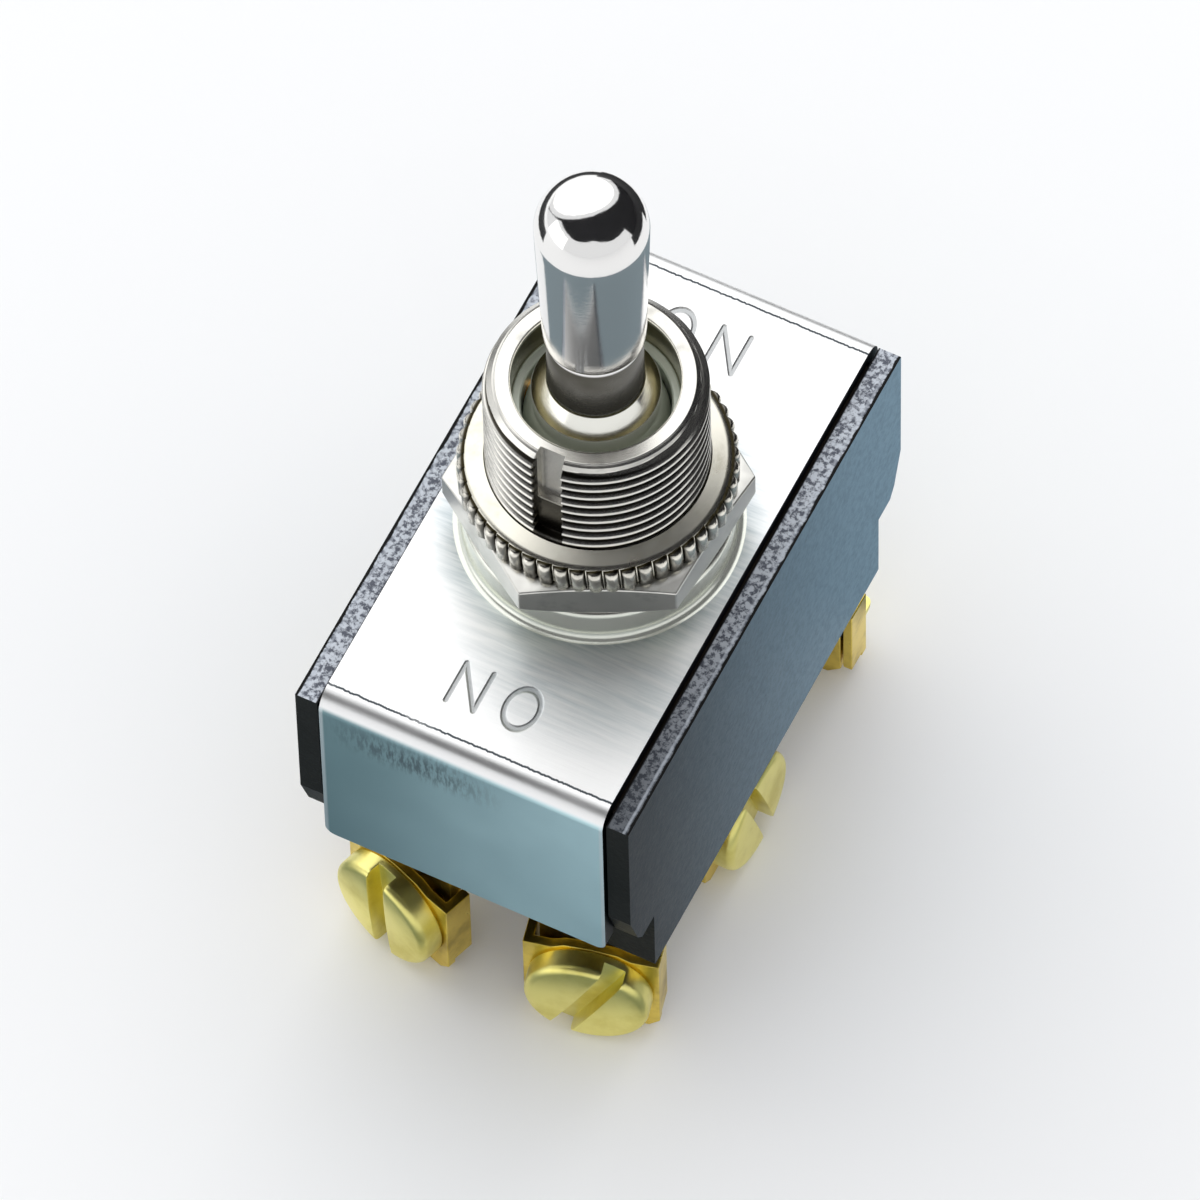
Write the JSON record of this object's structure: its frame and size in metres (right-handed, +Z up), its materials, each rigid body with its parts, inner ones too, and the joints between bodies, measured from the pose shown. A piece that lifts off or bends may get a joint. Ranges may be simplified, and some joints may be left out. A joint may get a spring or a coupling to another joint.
{
  "type": "panel toggle switch",
  "caption": "Heavy-duty bat-handle toggle switch in a steel frame with a threaded bushing, two nuts and brass screw terminals.",
  "frame": {"origin": "where the bushing's axis meets the frame's top face", "axes": "+Z up the bushing and lever, Y along the body and the lever's throw with the keyway on the -Y side, X across the body"},
  "size_m": [0.0196, 0.0328, 0.0599],
  "materials": {
    "zinc_steel": "satin zinc plate",
    "nickel_plate": "satin nickel plate",
    "bright_nickel": "bright nickel plate",
    "plain_steel": "plain steel",
    "spring_steel": "drawn wire",
    "fibre": "vulcanised fibre",
    "moulded_phenolic": "moulded phenolic, satin",
    "moulded_nylon": "natural nylon",
    "copper_alloy": "copper alloy strip",
    "silver": "silver face",
    "brass_pin": "drawn brass",
    "brass": "bright dipped brass"
  },
  "bodies": {
    "switch": {"frame": "zinc_steel", "bushing": "nickel_plate", "seat_collar": "plain_steel", "knurled_nut": "nickel_plate", "hex_nut": "nickel_plate", "liner": "fibre", "base": "moulded_phenolic", "fixed_contacts": "silver", "terminal_left_near": "brass", "terminal_left_middle": "brass", "terminal_left_far": "brass", "terminal_right_near": "brass", "terminal_right_middle": "brass", "terminal_right_far": "brass", "clamp_left_near": "brass", "clamp_left_middle": "brass", "clamp_left_far": "brass", "clamp_right_near": "brass", "clamp_right_middle": "brass", "clamp_right_far": "brass", "screw_left_near": "brass", "screw_left_middle": "brass", "screw_left_far": "brass", "screw_right_near": "brass", "screw_right_middle": "brass", "screw_right_far": "brass"},
    "lever": {"lever": "bright_nickel", "pivot_pin": "brass_pin", "actuator": "moulded_nylon", "spring_left": "spring_steel", "spring_right": "spring_steel"},
    "plunger_left": {"plunger_left": "moulded_nylon"},
    "plunger_right": {"plunger_right": "moulded_nylon"},
    "rocker_left": {"rocker_left": "copper_alloy", "moving_contacts_left": "silver"},
    "rocker_right": {"rocker_right": "copper_alloy", "moving_contacts_right": "silver"}
  },
  "joints": [
    {"name": "lever_tilt", "type": "hinge", "parent": "switch", "child": "lever", "pos_m": [0, 0, 0.0102], "axis": [1, 0, 0], "range_deg": [-14, 14]},
    {"name": "rocker_left_turn", "type": "hinge", "parent": "switch", "child": "rocker_left", "pos_m": [-0.0054, 0, -0.013], "axis": [1, 0, 0], "range_deg": [-8, 8]},
    {"name": "rocker_right_turn", "type": "hinge", "parent": "switch", "child": "rocker_right", "pos_m": [0.0054, 0, -0.013], "axis": [1, 0, 0], "range_deg": [-8, 8]},
    {"name": "plunger_left_push", "type": "slide", "parent": "lever", "child": "plunger_left", "axis": [0, 0, 1], "range_m": [0, 0.0006], "stiffness_N_per_m": 600, "deforming": ["spring_left"]},
    {"name": "plunger_right_push", "type": "slide", "parent": "lever", "child": "plunger_right", "axis": [0, 0, 1], "range_m": [0, 0.0006], "stiffness_N_per_m": 600, "deforming": ["spring_right"]}
  ],
  "couplings": [
    {"joint": "rocker_left_turn", "follows": "lever_tilt", "ratio": -0.5714},
    {"joint": "rocker_right_turn", "follows": "lever_tilt", "ratio": -0.5714}
  ]
}
